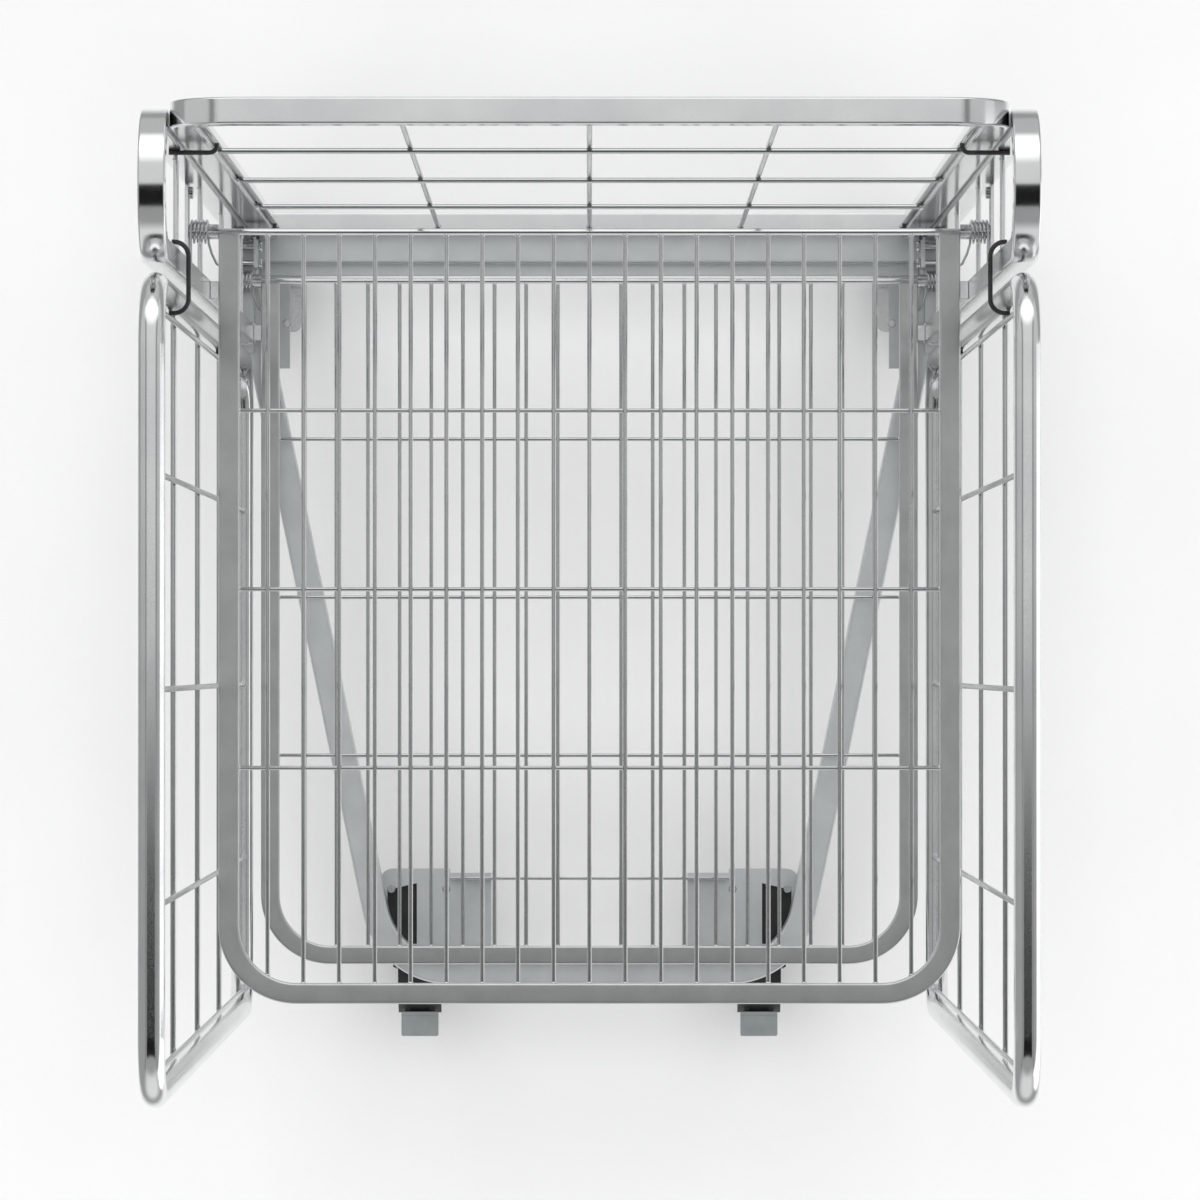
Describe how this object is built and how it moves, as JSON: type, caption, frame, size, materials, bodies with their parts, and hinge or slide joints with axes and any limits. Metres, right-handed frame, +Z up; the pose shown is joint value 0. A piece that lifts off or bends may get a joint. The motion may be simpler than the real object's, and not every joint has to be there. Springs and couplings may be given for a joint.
{
  "type": "nestable wire roll container",
  "caption": "Nestable roll container: tube base on casters, arched uprights, rear mesh panel, swinging side gates and fold-up wire shelves on sprung hinge rods.",
  "frame": {"origin": "on the floor under the middle of the object's box", "axes": "+X to the right, +Y to the rear, +Z up"},
  "size_m": [0.724, 0.837, 1.8],
  "materials": {
    "zinc": "bright zinc",
    "base_steel": "satin zinc grey",
    "shelf_grey": "matte grey",
    "black_caster": "satin black",
    "tyre": "matte black",
    "hub": "satin grey",
    "dark_hook": "gloss black",
    "pedal": "satin grey",
    "spring": "drawn wire"
  },
  "bodies": {
    "frame": {"base_tube": "base_steel", "rear_crossbeam": "base_steel", "tie_strip": "zinc", "front_gusset_left": "base_steel", "front_gusset_right": "base_steel", "rear_gusset_left": "base_steel", "rear_gusset_right": "base_steel", "foot_plates": "base_steel", "upright_left": "zinc", "upright_right": "zinc", "rear_panel_frame": "zinc", "rear_panel_mesh": "zinc", "rear_hooks": "dark_hook", "shelf_hinge_straps": "zinc", "deck_hinge_straps": "zinc", "deck_brackets": "base_steel", "hinge_pins": "zinc", "stop_lugs": "zinc", "deck_buffers": "tyre", "caster_bolts": "zinc", "shelf_spring_left": "spring", "shelf_spring_right": "spring", "deck_spring_left": "spring", "deck_spring_right": "spring", "front_plate_left": "black_caster", "front_kingpin_left": "black_caster", "front_plate_right": "black_caster", "front_kingpin_right": "black_caster", "rear_bracket_left": "zinc", "rear_bracket_right": "zinc", "rear_axles": "zinc"},
    "shelf": {"shelf_frame": "shelf_grey", "shelf_grid": "zinc", "shelf_hinge_rod": "zinc", "shelf_bushes": "zinc"},
    "deck": {"deck_frame": "shelf_grey", "deck_grid": "zinc", "deck_hinge_rod": "zinc", "deck_bushes": "zinc"},
    "gate_left": {"gate_frame_left": "zinc", "gate_mesh_left": "zinc", "gate_hooks_left": "dark_hook"},
    "gate_right": {"gate_frame_right": "zinc", "gate_mesh_right": "zinc", "gate_hooks_right": "dark_hook"},
    "swivel_left": {"front_fork_left": "black_caster", "front_axle_left": "zinc"},
    "front_wheel_left": {"front_tyre_left": "tyre", "front_hub_left": "hub"},
    "pedal_left": {"brake_pedal_left": "pedal"},
    "swivel_right": {"front_fork_right": "black_caster", "front_axle_right": "zinc"},
    "front_wheel_right": {"front_tyre_right": "tyre", "front_hub_right": "hub"},
    "pedal_right": {"brake_pedal_right": "pedal"},
    "rear_wheel_left": {"rear_tyre_left": "tyre", "rear_hub_left": "hub"},
    "rear_wheel_right": {"rear_tyre_right": "tyre", "rear_hub_right": "hub"}
  },
  "joints": [
    {"name": "shelf_fold", "type": "hinge", "parent": "frame", "child": "shelf", "pos_m": [0, 0.351, 1.09], "axis": [-1, 0, 0], "range_deg": [0, 90]},
    {"name": "deck_fold", "type": "hinge", "parent": "frame", "child": "deck", "pos_m": [0, 0.351, 0.222], "axis": [-1, 0, 0], "range_deg": [0, 90]},
    {"name": "gate_swing_left", "type": "hinge", "parent": "frame", "child": "gate_left", "pos_m": [-0.351, 0.299, 0.9], "axis": [0, 0, -1], "range_deg": [0, 120]},
    {"name": "gate_swing_right", "type": "hinge", "parent": "frame", "child": "gate_right", "pos_m": [0.351, 0.299, 0.9], "axis": [0, 0, 1], "range_deg": [0, 120]},
    {"name": "front_swivel_left", "type": "hinge", "parent": "frame", "child": "swivel_left", "pos_m": [-0.174, -0.296, 0.14], "axis": [0, 0, 1], "continuous": true},
    {"name": "front_spin_left", "type": "hinge", "parent": "swivel_left", "child": "front_wheel_left", "pos_m": [-0.174, -0.334, 0.0625], "axis": [1, 0, 0], "continuous": true},
    {"name": "pedal_tip_left", "type": "hinge", "parent": "swivel_left", "child": "pedal_left", "pos_m": [-0.174, -0.4015, 0.097], "axis": [1, 0, 0], "range_deg": [0, 15]},
    {"name": "front_swivel_right", "type": "hinge", "parent": "frame", "child": "swivel_right", "pos_m": [0.174, -0.296, 0.14], "axis": [0, 0, 1], "continuous": true},
    {"name": "front_spin_right", "type": "hinge", "parent": "swivel_right", "child": "front_wheel_right", "pos_m": [0.174, -0.334, 0.0625], "axis": [1, 0, 0], "continuous": true},
    {"name": "pedal_tip_right", "type": "hinge", "parent": "swivel_right", "child": "pedal_right", "pos_m": [0.174, -0.4015, 0.097], "axis": [1, 0, 0], "range_deg": [0, 15]},
    {"name": "rear_spin_left", "type": "hinge", "parent": "frame", "child": "rear_wheel_left", "pos_m": [-0.327, 0.355, 0.0625], "axis": [1, 0, 0], "continuous": true},
    {"name": "rear_spin_right", "type": "hinge", "parent": "frame", "child": "rear_wheel_right", "pos_m": [0.327, 0.355, 0.0625], "axis": [1, 0, 0], "continuous": true}
  ]
}
